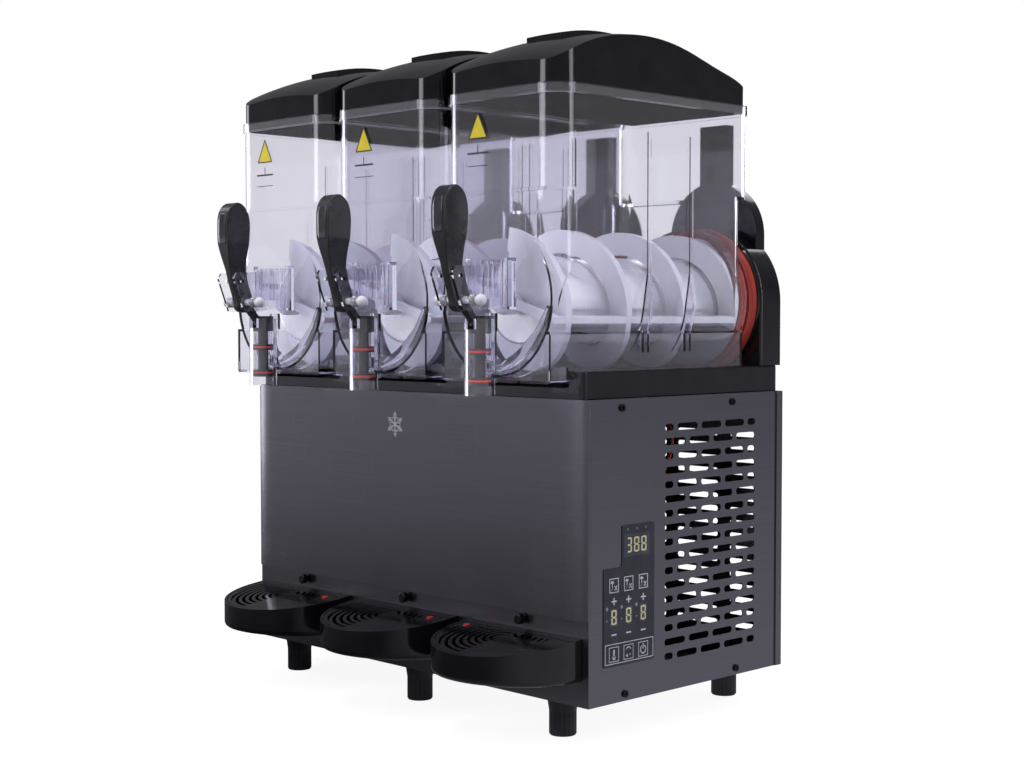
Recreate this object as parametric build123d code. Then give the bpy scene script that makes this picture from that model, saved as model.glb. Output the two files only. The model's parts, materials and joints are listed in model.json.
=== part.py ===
"""Three-bowl slushie machine: a refrigerated counter-top dispenser for frozen drinks.

A steel cabinet on six feet holds the compressor, condenser and fan. Three clear tanks stand on
its deck, each round a horizontal cooling cylinder with a ribbon auger, closed by a lid, with a
lever tap in front and a drip tray below. X is to the machine's right, Y to its back, Z up.
"""
from build123d import *
from math import acos, atan2, cos, degrees, hypot, radians, sin, tan
import os

# ---- Driving dimensions, in millimetres --------------------------------------------------
# All heights are above the floor. Depths are behind the cabinet's front plane, and save()
# moves every piece by FRONT_Y, so that the part's origin is under the middle of the machine.
FRONT_Y = -110.2

BOWL_PITCH = 200.0
BOWLS = {"left": -BOWL_PITCH, "middle": 0.0, "right": BOWL_PITCH}

CABINET_HALF_W = 300.0
CABINET_DEPTH = 341.0
CABINET_Z = 40.0
CABINET_TOP = 376.0
SHEET = 1.5
APRON_TOP = 135.0
COVER_PROUD = 6.0
COVER_FLAT_HALF_W = 270.0
COVER_HALF_W = 301.5

VENT_ROWS = 17
VENT_PITCH = 16.35
VENT_TOP_Z = 341.0
VENT_MID_Y = 208.5
SLOT_LONG = 36.0
SLOT_SHORT = 14.5
SLOT_HEIGHT = 8.0
SLOT_GAP = 7.0

DECK_HALF_W = 290.0
DECK_TOP = 407.0
DECK_BACK = 349.0
DECK_WALL = 3.0
CHANNEL_HALF_W = 69.0
CHANNEL_FLOOR = 388.0

AXIS_Z = 485.0
BARREL_R = 87.0
BARREL_FRONT = -44.5
BARREL_BACK = 290.0
TANK_HALF_W = 93.0
TANK_WALL = 3.5
SHOULDER_Z = 517.0
LEDGE_Z = 605.0
UPPER_FRONT = -41.0
UPPER_BACK = 284.5
LOWER_BACK = 271.0
RIM_Z = 705.0
RIM_TOP = 716.0
RIM_PROUD = 2.5
FRONT_CORNER_R = 28.0
BACK_CORNER_R = 10.0
SKIRT_HALF_W = 86.0
SKIRT_TOP = 450.0
SKIRT_FRONT = -46.0
SKIRT_BACK = 283.0
SKIRT_WALL = 3.0
RIB_DEPTHS = (104.5, 177.5)
RIB_ROUND_R = 98.6
RIB_LOWER_HALF_W = 92.2
RIB_BOTTOM = 426.0
RIB_TOP = 672.0

TOWER_FRONT = 311.0
TOWER_HALF_W = 93.0
TOWER_WALL = 3.0
SEAT_FRONT = 306.0
ARCH_FRONT = 332.0
ARCH_Z = 566.0
ARCH_R = 68.0
NECK_HALF_W = 21.0
NECK_BACK = 346.0
NECK_TOP = 704.0

EVAPORATOR_R = 50.0
EVAPORATOR_FRONT = -8.0
COLLAR_R = 78.0
COLLAR_FRONT = 288.0
COLLAR_BACK = 296.0
SHAFT_R = 6.0
SHAFT_FRONT = -34.0
SHAFT_BACK = 336.0
RUNNING_GAP = 0.06

AUGER_R = 80.0
AUGER_INNER_R = 53.5
AUGER_FRONT = -31.0
AUGER_BACK = 281.0
AUGER_PITCH = 97.0
AUGER_THICKNESS = 8.5
BAR_ANGLE = -16.5
# The ribbon crosses the right-hand side of the barrel at this depth.
RIBBON_SIDE_Y = 84.0

TAP_Y = -68.0
TUBE_R = 17.0
TUBE_BORE_R = 13.5
TUBE_Z = 380.0
TUBE_TOP = 464.0
PORT_Z = 412.0
PISTON_R = 13.0
PISTON_Z = 391.0
PISTON_TOP = 467.0
PISTON_WAISTS = ((399.5, 424.5), (431.5, 448.0))
RING_HEIGHTS = (396.0, 428.0)
RING_HALF = 1.5
PIVOT_Y = -97.0
PIVOT_Z = 484.0
PIN_R = 4.0
KNOB_X = 33.0
KNOB_R = 6.5
CHEEK_IN = 14.5
CHEEK_OUT = 18.0
BLOCK_HALF_W = 33.0
HANDLE_HALF_W = 11.5
HANDLE_NECK_HALF_W = 5.8
TOE_TIP = (-74.0, 458.0)

TRAY_R = 90.0
TRAY_ROUND_Y = -20.0
TRAY_REAR = -0.6
TRAY_TOP = 115.5
TRAY_SLOPE = 7.0
TRAY_BOTTOM = 66.0
TRAY_WALL = 3.0
GRILLE_THICKNESS = 3.0
GRILLE_DROP = 0.4
SLAT_CENTRE_Y = -38.0
SLAT_PITCH = 8.3
SLAT_GAP = 4.2
# The right-hand tray has its float on the other side, away from the key panel.
FLOAT_X = {"left": 64.0, "middle": 64.0, "right": -72.0}
FLOAT_Y = -21.0
FLOAT_HOLE_R = 4.6
GRILLE_REAR = -12.6
WELL_REAR = -15.1

FOOT_X = (-243.0, 0.0, 243.0)
FOOT_Y = (19.0, 305.0)
FOOT_R = 17.0


# ---- Small helpers -----------------------------------------------------------------------
def block(x0, x1, y0, y1, z0, z1):
    """A box from its limits."""
    size = Box(x1 - x0, y1 - y0, z1 - z0, align=(Align.MIN, Align.MIN, Align.MIN))
    return Pos(x0, y0, z0) * size


def along_x(section, x0, x1):
    """A section drawn in Y and Z, extruded from x0 to x1."""
    return Pos(x0, 0, 0) * extrude(Plane.YZ * section, x1 - x0)


def along_y(section, y0, y1):
    """A section drawn in X and Z, extruded from y0 back to y1."""
    return Pos(0, y1, 0) * extrude(Plane.XZ * section, y1 - y0)


def along_z(section, z0, z1):
    """A plan drawn in X and Y, extruded from z0 up to z1."""
    return Pos(0, 0, z0) * extrude(Plane.XY * section, z1 - z0)


def disc_y(radius, y0, y1, x=0.0, z=AXIS_Z):
    """A round bar along Y."""
    return along_y(Pos(x, z) * Circle(radius), y0, y1)


def disc_z(radius, z0, z1, x=0.0, y=0.0):
    """A round bar along Z."""
    return along_z(Pos(x, y) * Circle(radius), z0, z1)


def disc_x(radius, x0, x1, y, z):
    """A round bar along X."""
    return along_x(Pos(y, z) * Circle(radius), x0, x1)


def polygon(*points):
    """A flat face with straight sides."""
    return make_face(Polyline(*points, points[0]))


def pipe(radius, bend, *points):
    """A round tube of straight runs joined by tangent arcs of one bend radius."""
    path = FilletPolyline(*points, radius=bend)
    start = Plane(origin=path @ 0, z_dir=path % 0)
    return sweep(start * Circle(radius), path)


def save(name, shape):
    """Write one node, moved so that the origin is under the middle of the machine."""
    export_step(Pos(0, FRONT_Y, 0) * shape, f"parts/{name}.step")


# ---- Cabinet -----------------------------------------------------------------------------
def vent_slots():
    """The staggered slots of a side panel, drawn in Y and Z."""
    slots = []
    for row in range(VENT_ROWS):
        z = VENT_TOP_Z - row * VENT_PITCH
        lengths = [SLOT_LONG] * 4
        if row % 2 == 0:
            lengths = [SLOT_SHORT] + [SLOT_LONG] * 3 + [SLOT_SHORT]
        y = VENT_MID_Y - (sum(lengths) + SLOT_GAP * (len(lengths) - 1)) / 2
        for length in lengths:
            slots.append(Pos(y + length / 2, z) * SlotOverall(length, SLOT_HEIGHT))
            y += length + SLOT_GAP
    return slots


SCREW_SPOTS = ((53.0, 366.0), (247.0, 366.0), (59.0, 48.0), (256.0, 48.0))


def side_panel(side):
    """Outer sheet of one side: stepped front edge behind the cover, vent slots, screw holes."""
    face = polygon((0, CABINET_Z), (CABINET_DEPTH, CABINET_Z), (CABINET_DEPTH, CABINET_TOP),
                   (2.5, CABINET_TOP), (2.5, APRON_TOP), (0, APRON_TOP))
    holes = [Pos(y, z) * Circle(2.3) for y, z in SCREW_SPOTS]
    x0 = CABINET_HALF_W - SHEET if side > 0 else -CABINET_HALF_W
    return along_x(face - vent_slots() - holes, x0, x0 + SHEET)


def chassis_pan():
    """Folded base sheet: floor, upturned edges, and the apron that shows below the cover."""
    half = CABINET_HALF_W - SHEET - 0.2
    back = CABINET_DEPTH - 2
    pan = block(-half, half, 0, back, CABINET_Z, CABINET_Z + SHEET)
    pan += block(-half, half, 0, SHEET, CABINET_Z, APRON_TOP)
    pan += block(-half, half, 0, 22, APRON_TOP - SHEET, APRON_TOP)
    pan += block(-half, half, back - SHEET, back, CABINET_Z, CABINET_Z + 22)
    for edge in (-half, half - SHEET):
        pan += block(edge, edge + SHEET, 0, back, CABINET_Z, CABINET_Z + 22)
    for x in BOWLS.values():
        pan -= disc_y(2.3, -1, 3, x, 127)
    for y, z in SCREW_SPOTS:
        pan -= disc_x(2.3, -half - 1, half + 1, y, z)
    return pan


def front_cover():
    """Proud front sheet with elliptical rolled vertical edges, folded in at top and bottom."""
    def skin(inset):
        """Plan outline of the sheet's outer or inner surface, closed behind."""
        front = -COVER_PROUD + inset
        edge = COVER_HALF_W - inset
        depth = COVER_PROUD + 0.5 - inset
        back = 0.5
        roll = edge - COVER_FLAT_HALF_W
        outline = [Line((-COVER_FLAT_HALF_W, front), (COVER_FLAT_HALF_W, front)),
                   EllipticalCenterArc((COVER_FLAT_HALF_W, back), roll, depth, 270, arc_size=90),
                   EllipticalCenterArc((-COVER_FLAT_HALF_W, back), roll, depth, 180, arc_size=90)]
        outline.append(Line((-edge, back), (edge, back)))
        return make_face(outline)
    shell = along_z(skin(0) - skin(SHEET), APRON_TOP + 0.3, CABINET_TOP)
    shell += along_z(skin(SHEET), CABINET_TOP - SHEET, CABINET_TOP)
    shell += along_z(skin(SHEET), APRON_TOP + 0.3, APRON_TOP + 0.3 + SHEET)
    return shell


def rear_panel():
    """Rear sheet wrapped round the side panels' rear edges, with exhaust slots."""
    half = CABINET_HALF_W + 1.6
    front = 332.0
    back = 343.0
    shell = block(-half, half, front, back, CABINET_Z, CABINET_TOP)
    shell -= block(-half + SHEET, half - SHEET, front - 1, back - SHEET, CABINET_Z - 1, CABINET_TOP + 1)
    slots = [Pos(-220, 90) * Rectangle(31, 25)]
    for x in (-255, -170, -85, 0, 85, 170, 255):
        for row in range(16):
            z = 320 - 16 * row
            beside_inlet = x < -100 and z < 120
            if not beside_inlet:
                slots.append(Pos(x, z) * SlotOverall(66, 7))
    return shell - along_y(Sketch() + slots, back - 3, back + 1)


def feet():
    """Six adjustable feet: a plain collar above a fluted grip."""
    grip = Circle(FOOT_R - 1.5)
    flutes = [Rot(0, 0, turn * 20) * Pos(FOOT_R - 1.0, 0) * Circle(1.3) for turn in range(18)]
    foot = along_z(grip - flutes, 1.5, 27)
    foot += disc_z(FOOT_R - 2.5, 0, 1.5)
    foot += Pos(0, 0, 33.5) * Cone(FOOT_R - 1.5, FOOT_R + 0.5, 13)
    return Part() + [Pos(x, y, 0) * foot for x in FOOT_X for y in FOOT_Y]


def deck():
    """Plastic deck, hollow below, with a channel under each tank that is open at the front."""
    top = block(-DECK_HALF_W, DECK_HALF_W, 1, DECK_BACK, CABINET_TOP, DECK_TOP)
    top = fillet(top.edges().filter_by(Axis.Z), 7)
    top = fillet(top.faces().sort_by(Axis.Z)[-1].outer_wire().edges(), 2)
    hollow = block(-DECK_HALF_W + 4, DECK_HALF_W - 4, 5, DECK_BACK - 4,
                   CABINET_TOP - 1, DECK_TOP - DECK_WALL)
    for x in BOWLS.values():
        hollow -= block(x - CHANNEL_HALF_W - DECK_WALL, x + CHANNEL_HALF_W + DECK_WALL,
                        0, TOWER_FRONT + DECK_WALL, CHANNEL_FLOOR - DECK_WALL, DECK_TOP)
        top -= block(x - CHANNEL_HALF_W, x + CHANNEL_HALF_W, 0, TOWER_FRONT, CHANNEL_FLOOR, DECK_TOP + 1)
    return top - hollow


def tower_section(inset):
    """Front view of the tower's body: straight sides under a half round about the bowl axis."""
    half = TOWER_HALF_W - inset
    outline = [Line((half, DECK_TOP), (half, AXIS_Z)),
               ThreePointArc((half, AXIS_Z), (0, AXIS_Z + half), (-half, AXIS_Z)),
               Line((-half, AXIS_Z), (-half, DECK_TOP)),
               Line((-half, DECK_TOP), (half, DECK_TOP))]
    return make_face(outline)


def rear_towers():
    """Three hollow motor covers behind the bowls, each with a gasket seat, arch and neck."""
    def solid(inset):
        """The tower's outer form, or the space inside it."""
        body = along_y(tower_section(inset), TOWER_FRONT + inset, DECK_BACK - inset)
        body += disc_y(ARCH_R - inset, ARCH_FRONT + inset, DECK_BACK - inset, 0, ARCH_Z)
        body += block(-ARCH_R + inset, ARCH_R - inset, ARCH_FRONT + inset, DECK_BACK - inset,
                      AXIS_Z + 20, ARCH_Z)
        body += block(-NECK_HALF_W + inset, NECK_HALF_W - inset, ARCH_FRONT + inset,
                      NECK_BACK - inset, ARCH_Z, NECK_TOP - inset)
        return body
    tower = solid(0)
    tower = fillet(tower.edges().filter_by(GeomType.CIRCLE).sort_by(Axis.Y)[:1], 3)
    tower -= solid(TOWER_WALL)
    tower -= block(-60, 60, TOWER_FRONT + TOWER_WALL, DECK_BACK - TOWER_WALL, DECK_TOP - 1, DECK_TOP + 5)
    tower += disc_y(91.5, SEAT_FRONT, TOWER_FRONT)
    tower -= disc_y(EVAPORATOR_R + 0.3, SEAT_FRONT - 1, TOWER_FRONT + TOWER_WALL + 1)
    return Part() + [Pos(x, 0, 0) * tower for x in BOWLS.values()]


def control_panel():
    """Membrane key panel on the right side: a wide lower part and a narrower display part."""
    face = polygon((23, 81), (107, 81), (107, 236), (53, 236), (53, 190), (23, 190))
    def is_notch(corner):
        """Whether a corner of the outline is the inward one between the two parts."""
        return abs(corner.X - 53) < 1 and abs(corner.Y - 190) < 1
    face = fillet(face.vertices().filter_by(lambda corner: not is_notch(corner)), 2.5)
    face = fillet(face.vertices().filter_by(is_notch), 5)
    return along_x(face, CABINET_HALF_W, CABINET_HALF_W + 0.9)


def fasteners():
    """Button-head screws of both side panels and the round hook studs above the trays."""
    pieces = []
    for side in (-1, 1):
        for y, z in SCREW_SPOTS:
            start = side * (CABINET_HALF_W - 10)
            face = side * CABINET_HALF_W
            crown = side * (CABINET_HALF_W + 1.9)
            shank = disc_x(1.9, min(start, face), max(start, face), y, z)
            head = disc_x(4.2, min(face, crown), max(face, crown), y, z)
            recess = side * (CABINET_HALF_W + 0.6)
            socket = disc_x(1.6, min(recess, crown + side), max(recess, crown + side), y, z)
            pieces.append(shank + head - socket)
    for x in BOWLS.values():
        stud = disc_y(2.0, -5, 8, x, 127)
        stud += disc_y(6.0, -11, -4, x, 127)
        stud += disc_y(4.0, -4.5, 0, x, 127)
        pieces.append(fillet(stud.edges().sort_by(Axis.Y)[0], 1.5))
    return Part() + pieces


# ---- Inside the cabinet ------------------------------------------------------------------
COMPRESSOR_X = 80.0
COMPRESSOR_Y = 195.0


def compressor():
    """Welded pot compressor with a belt seam, terminal box, base plate and four grommets."""
    pot = disc_z(62, 62, 205, COMPRESSOR_X, COMPRESSOR_Y)
    pot = fillet(pot.edges().filter_by(GeomType.CIRCLE), 22)
    pot += disc_z(65, 128, 134, COMPRESSOR_X, COMPRESSOR_Y)
    pot += block(COMPRESSOR_X + 50, COMPRESSOR_X + 88, COMPRESSOR_Y - 26, COMPRESSOR_Y + 26, 90, 150)
    pot += block(COMPRESSOR_X - 85, COMPRESSOR_X + 85, COMPRESSOR_Y - 55, COMPRESSOR_Y + 55, 56, 60)
    pot += disc_z(30, 58, 70, COMPRESSOR_X, COMPRESSOR_Y)
    for dx in (-72, 72):
        for dy in (-42, 42):
            pot += disc_z(10, CABINET_Z + SHEET, 57, COMPRESSOR_X + dx, COMPRESSOR_Y + dy)
    return pot


CONDENSER_X = -284.0
CONDENSER_THICKNESS = 44.0
FAN_X = -190.0
FAN_Y = 175.0
FAN_Z = 195.0


def condenser():
    """Finned coil beside the left vents: end plates, fins across the air, and tube rows."""
    x1 = CONDENSER_X + CONDENSER_THICKNESS
    coil = block(CONDENSER_X, x1, 60, 62, 60, 330)
    coil += block(CONDENSER_X, x1, 288, 290, 60, 330)
    for turn in range(9):
        z = 80 + turn * 28
        for x in (CONDENSER_X + 12, CONDENSER_X + 32):
            coil += disc_y(5, 52, 298, x, z)
    fins = [block(CONDENSER_X, x1, 68 + 8 * n, 69.2 + 8 * n, 62, 328) for n in range(28)]
    return coil + fins


def fan_shroud():
    """Square shroud behind the coil, a ring for the fan, and the motor on three arms."""
    x0 = CONDENSER_X + CONDENSER_THICKNESS
    shroud = block(x0, x0 + 30, 62, 288, 60, 330)
    shroud -= block(x0 - 1, x0 + 27, 65, 285, 63, 327)
    shroud -= disc_x(98, x0 + 20, x0 + 40, FAN_Y, FAN_Z)
    ring = disc_x(101, x0 + 27, x0 + 70, FAN_Y, FAN_Z) - disc_x(98, x0 + 20, x0 + 80, FAN_Y, FAN_Z)
    motor = disc_x(32, FAN_X + 24, FAN_X + 74, FAN_Y, FAN_Z)
    arms = Part()
    for turn in range(3):
        bar = block(FAN_X + 14, FAN_X + 20, -5, 5, 20, 100)
        arms += Pos(0, FAN_Y, FAN_Z) * Rot(turn * 120, 0, 0) * bar
    arms += disc_x(26, FAN_X + 14, FAN_X + 25, FAN_Y, FAN_Z)
    spindle_bore = disc_x(3 + RUNNING_GAP, FAN_X, FAN_X + 50, FAN_Y, FAN_Z)
    return shroud + ring + motor + arms - spindle_bore


def fan():
    """Five-blade axial fan on its spindle."""
    hub = disc_x(26, FAN_X - 14, FAN_X + 10, FAN_Y, FAN_Z)
    hub += disc_x(3, FAN_X, FAN_X + 48, FAN_Y, FAN_Z)
    for turn in range(5):
        blade = block(-1.2, 1.2, -24, 24, 22, 92)
        blade = Rot(0, 0, 32) * blade
        hub += Pos(FAN_X - 2, FAN_Y, FAN_Z) * Rot(turn * 72, 0, 0) * blade
    return hub


def gear_motors():
    """Three flat gear motors inside the towers: gear case, pancake motor and shaft bore."""
    case = along_y(Pos(0, AXIS_Z) * RectangleRounded(78, 78, 12), 316, 341)
    case += disc_y(36, 318, 343, 0, 447)
    case -= disc_y(SHAFT_R + RUNNING_GAP, 315, SHAFT_BACK + 1)
    return Part() + [Pos(x, 0, 0) * case for x in BOWLS.values()]


def refrigerant_lines():
    """Foam-covered suction lines from the compressor up to the deck under each bowl."""
    lines = []
    for n, x in enumerate(BOWLS.values()):
        y = COMPRESSOR_Y + 22 * (1 - n)
        rise_x = COMPRESSOR_X + 96 + 22 * n
        top_z = 335 - 24 * n
        route = [(COMPRESSOR_X + 63, y, 168), (rise_x, y, 168)]
        if n < 2:
            route += [(rise_x, y, top_z), (x + 20, y, top_z)]
        route.append((route[-1][0], y, 374))
        lines.append(pipe(9, 16, *route))
    return Part() + lines


def wiring():
    """Three loom wires from the control board to the top of the cabinet, clipped all the way."""
    wires = []
    for n in range(3):
        y = 128 + 7 * n
        x = 282 - 6 * n
        wires.append(pipe(1.6, 20, (x, 70, 250 + 6 * n), (x, y, 262 + 9 * n), (x, y + 45, 330 - 5 * n),
                          (x - 30, y + 48, 354)))
    return Part() + wires


def power_inlet():
    """Appliance inlet in the rear panel: housing, flange, socket recess and three blades."""
    x, z = -220, 90
    body = block(x - 15, x + 15, 318, 343, z - 12, z + 12)
    body += block(x - 25, x + 25, 343, 346, z - 14, z + 14)
    body -= block(x - 12, x + 12, 327, 347, z - 8, z + 8)
    for dx, dz in ((-7, -1), (0, 3), (7, -1)):
        body += block(x + dx - 1, x + dx + 1, 325, 343, z + dz - 2, z + dz + 2)
    return body


# ---- Bowl: cooling cylinder, auger and seal ----------------------------------------------
def evaporator():
    """Stainless cooling cylinder, closed round the shaft in front, with a rear mounting collar."""
    shell = disc_y(EVAPORATOR_R, EVAPORATOR_FRONT, TOWER_FRONT)
    shell = fillet(shell.edges().sort_by(Axis.Y)[0], 6)
    shell += disc_y(COLLAR_R, COLLAR_FRONT, COLLAR_BACK)
    shell -= disc_y(EVAPORATOR_R - 2, EVAPORATOR_FRONT + 8, TOWER_FRONT + 1)
    return shell - disc_y(SHAFT_R + 0.5, EVAPORATOR_FRONT - 1, EVAPORATOR_FRONT + 9)


def auger_shaft():
    """Drive shaft from the gear motor to the auger's front hub."""
    return disc_y(SHAFT_R, SHAFT_FRONT + 8, SHAFT_BACK)


def helix_ribbon(inner, outer, thickness, back, front):
    """One right-hand ribbon: a ring sector extruded forward while it turns about the axis."""
    half = thickness / AUGER_PITCH * 180
    turn_start = -90 - (back - RIBBON_SIDE_Y) / AUGER_PITCH * 360
    length = back - front
    def corner(radius, angle):
        """A point of the ring sector, measured from the top towards the right-hand side."""
        return (radius * sin(radians(angle)), radius * cos(radians(angle)))
    sector = make_face([
        ThreePointArc(corner(outer, -half), corner(outer, 0), corner(outer, half)),
        Line(corner(outer, half), corner(inner, half)),
        ThreePointArc(corner(inner, half), corner(inner, 0), corner(inner, -half)),
        Line(corner(inner, -half), corner(outer, -half))])
    twist = Solid.extrude_linear_with_rotation(sector.face(), (0, 0, 0), (0, 0, length),
                                               length / AUGER_PITCH * 360)
    return Pos(0, back, AXIS_Z) * Rot(90, 0, 0) * Rot(0, 0, turn_start) * twist


def auger():
    """Ribbon auger: the ribbon, its front vane, two straight bars, and a front spider with a nose."""
    body = Part() + helix_ribbon(AUGER_INNER_R, AUGER_R, AUGER_THICKNESS, AUGER_BACK, AUGER_FRONT)
    body += helix_ribbon(10, AUGER_INNER_R + 3, AUGER_THICKNESS - 2, EVAPORATOR_FRONT - 2, AUGER_FRONT)
    for angle in (BAR_ANGLE, BAR_ANGLE + 180):
        bar = block(AUGER_R - 7, AUGER_R - 0.4, AUGER_FRONT, AUGER_BACK, -3.5, 3.5)
        body += Pos(0, 0, AXIS_Z) * Rot(0, -angle, 0) * bar
        arm = block(12, AUGER_R - 4, AUGER_FRONT, AUGER_FRONT + 7, -5, 5)
        body += Pos(0, 0, AXIS_Z) * Rot(0, -angle, 0) * arm
    hub = disc_y(17, AUGER_FRONT - 5, AUGER_FRONT + 16)
    hub = fillet(hub.edges().sort_by(Axis.Y)[0], 6)
    return body + hub - disc_y(SHAFT_R, SHAFT_FRONT + 8, AUGER_BACK + 5)


def gasket():
    """Silicone seal between tank and tower seat: a flange, and a lip inside the tank's rear."""
    ring = disc_y(90, 291, SEAT_FRONT) - disc_y(88.6, 297, 300)
    ring += disc_y(87.5, 296, 301)
    ring += disc_y(82.5, 284, 292)
    ring -= disc_y(COLLAR_R + 0.4, 283, COLLAR_BACK + 0.4)
    return ring - disc_y(EVAPORATOR_R + 0.3, 283, SEAT_FRONT + 1)


# ---- Bowl: clear tank with its tap body --------------------------------------------------
def trough_section(inset, top):
    """Front view of the tank: upright sides, tangent shoulders, and the barrel's lower half."""
    half = TANK_HALF_W - inset
    radius = BARREL_R - inset
    reach = hypot(half, SHOULDER_Z - AXIS_Z)
    angle = atan2(SHOULDER_Z - AXIS_Z, half) - acos(radius / reach)
    tangent_x = radius * cos(angle)
    tangent_z = AXIS_Z + radius * sin(angle)
    sides = Polyline((tangent_x, tangent_z), (half, SHOULDER_Z), (half, top),
                     (-half, top), (-half, SHOULDER_Z), (-tangent_x, tangent_z))
    floor = ThreePointArc((-tangent_x, tangent_z), (0, AXIS_Z - radius), (tangent_x, tangent_z))
    return make_face([sides, floor])


def tank_plan(inset, front, back):
    """Plan of the tank's walls, with large front corners and small rear ones."""
    half = TANK_HALF_W - inset
    plan = Pos(0, (front + back) / 2) * Rectangle(2 * half, back - front)
    front_corners = plan.vertices().sort_by(Axis.Y)[:2]
    plan = fillet(front_corners, FRONT_CORNER_R - inset)
    rear_corners = plan.vertices().sort_by(Axis.Y)[-2:]
    return fillet(rear_corners, max(BACK_CORNER_R - inset, 2))


def tank_space(inset):
    """The tank's outer form (inset 0) or the room inside it (inset of one wall)."""
    step = inset if inset else 0.0
    lower = along_y(trough_section(inset, LEDGE_Z - step), BARREL_FRONT + inset, LOWER_BACK - inset)
    lower &= along_z(tank_plan(inset, BARREL_FRONT + inset, LOWER_BACK - inset), 380, LEDGE_Z - step)
    middle = along_z(tank_plan(inset, UPPER_FRONT + inset, LOWER_BACK - inset), LEDGE_Z - 20, LEDGE_Z + 20)
    upper = along_z(tank_plan(inset, UPPER_FRONT + inset, UPPER_BACK - inset),
                    LEDGE_Z + step, RIM_TOP + step)
    barrel = disc_y(BARREL_R - inset, BARREL_FRONT + inset, BARREL_BACK + step)
    return lower + middle + upper + barrel


def skirt():
    """Box-shaped base that carries the barrel: four walls and a flat flange, open below."""
    half = SKIRT_HALF_W
    wall = SKIRT_WALL
    foot_z = DECK_TOP + 0.3
    base = block(-half, half, SKIRT_FRONT, SKIRT_BACK, foot_z, SKIRT_TOP)
    base -= block(-half + wall, half - wall, SKIRT_FRONT + wall, SKIRT_BACK - wall,
                  foot_z - 1, SKIRT_TOP - wall)
    apron = block(-half, half, SKIRT_FRONT, -16, 394, foot_z + 4)
    apron -= block(-half + wall, half - wall, SKIRT_FRONT + wall, -16 - wall, 394 + wall, foot_z + 5)
    base += fillet(apron.edges().filter_by(Axis.Y).sort_by(Axis.Z)[:2], 2.5)
    cheek = block(-30, 30, SKIRT_BACK - wall, SKIRT_BACK, foot_z, 420)
    return base + cheek


def rib_section():
    """Front view of a stiffening rib: straight beside the walls, round beside the barrel."""
    round_part = Pos(0, AXIS_Z) * (Circle(RIB_ROUND_R) & Rectangle(2 * RIB_ROUND_R, 72))
    lower_height = 455 - RIB_BOTTOM
    lower_part = Pos(0, RIB_BOTTOM + lower_height / 2) * Rectangle(2 * RIB_LOWER_HALF_W, lower_height)
    face = trough_section(-1.5, RIB_TOP) + round_part + lower_part
    return face - Pos(0, RIB_BOTTOM - 50) * Rectangle(300, 100)


def tap_body():
    """Clear tap moulded on the tank: outlet tube, neck, ribbed block and two pivot cheeks."""
    tube = disc_z(TUBE_R, TUBE_Z, TUBE_TOP, 0, TAP_Y)
    tube += disc_y(12, TAP_Y, BARREL_FRONT + 1, 0, PORT_Z)
    tube += block(-4, 4, TAP_Y + 10, BARREL_FRONT + 1, 398, 470)
    plate = block(-BLOCK_HALF_W, BLOCK_HALF_W, -50, BARREL_FRONT + 1, 474, 530)
    for n in range(-4, 5):
        x = n * 8.0
        low = 487 if abs(x) < CHEEK_OUT else 474
        plate += block(x - 1, x + 1, -58, -49, low, 530)
    plate += block(-BLOCK_HALF_W, BLOCK_HALF_W, -58, -49, 527, 530)
    for side in (-1, 1):
        x0 = min(side * CHEEK_OUT, side * BLOCK_HALF_W)
        x1 = max(side * CHEEK_OUT, side * BLOCK_HALF_W)
        plate += block(x0, x1, -58, -49, 474, 477)
    cheek_face = polygon((-49, 524), (-120, 520), (-124, 513), (-109, 473), (-90, 472), (-49, 480))
    cheek_face = cheek_face - [Pos(PIVOT_Y, PIVOT_Z) * Circle(PIN_R + 0.1), Pos(-111, 510) * Circle(2.2)]
    cheeks = along_x(cheek_face, CHEEK_IN, CHEEK_OUT) + along_x(cheek_face, -CHEEK_OUT, -CHEEK_IN)
    notch = block(-7.5, 7.5, TAP_Y - TUBE_R - 1, TAP_Y - 8, 452, TUBE_TOP + 1)
    return tube + plate + cheeks - disc_z(TUBE_BORE_R, TUBE_Z - 1, TUBE_TOP + 7, 0, TAP_Y) - notch


def tank():
    """Clear tank: walls, rim, side ribs, skirt and tap body, with its outlet port."""
    rim_plan = tank_plan(-RIM_PROUD, UPPER_FRONT - RIM_PROUD, UPPER_BACK + RIM_PROUD)
    body = tank_space(0) + along_z(rim_plan, RIM_Z, RIM_TOP)
    for y in RIB_DEPTHS:
        body += along_y(rib_section(), y - 2.5, y + 2.5)
    body += skirt()
    body += tap_body()
    body -= tank_space(TANK_WALL)
    body -= disc_y(BARREL_R - TANK_WALL, BARREL_BACK - 10, BARREL_BACK + 5)
    return body - disc_y(7, TAP_Y, BARREL_FRONT + 6, 0, PORT_Z)


# ---- Bowl: tap mechanism -----------------------------------------------------------------
def tap_piston():
    """Outlet piston with two ring grooves and a slot on top for the handle's toe."""
    piston = disc_z(PISTON_R, PISTON_Z, PISTON_TOP, 0, TAP_Y)
    for z in RING_HEIGHTS:
        groove = disc_z(PISTON_R + 1, z - RING_HALF, z + RING_HALF) - disc_z(PISTON_R - 2, z - 5, z + 5)
        piston -= Pos(0, TAP_Y, 0) * groove
    for low, high in PISTON_WAISTS:
        waist = disc_z(PISTON_R + 1, low, high) - disc_z(PISTON_R / 2, low - 1, high + 1)
        piston -= Pos(0, TAP_Y, 0) * waist
    slot = block(-7.5, 7.5, TAP_Y - 15, -59.3, TOE_TIP[1] - 5.2, TOE_TIP[1] + 5.2)
    slot += block(-7.5, 7.5, TAP_Y - 15, -69, TOE_TIP[1] - 5.2, PISTON_TOP + 1)
    return piston - slot


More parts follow.
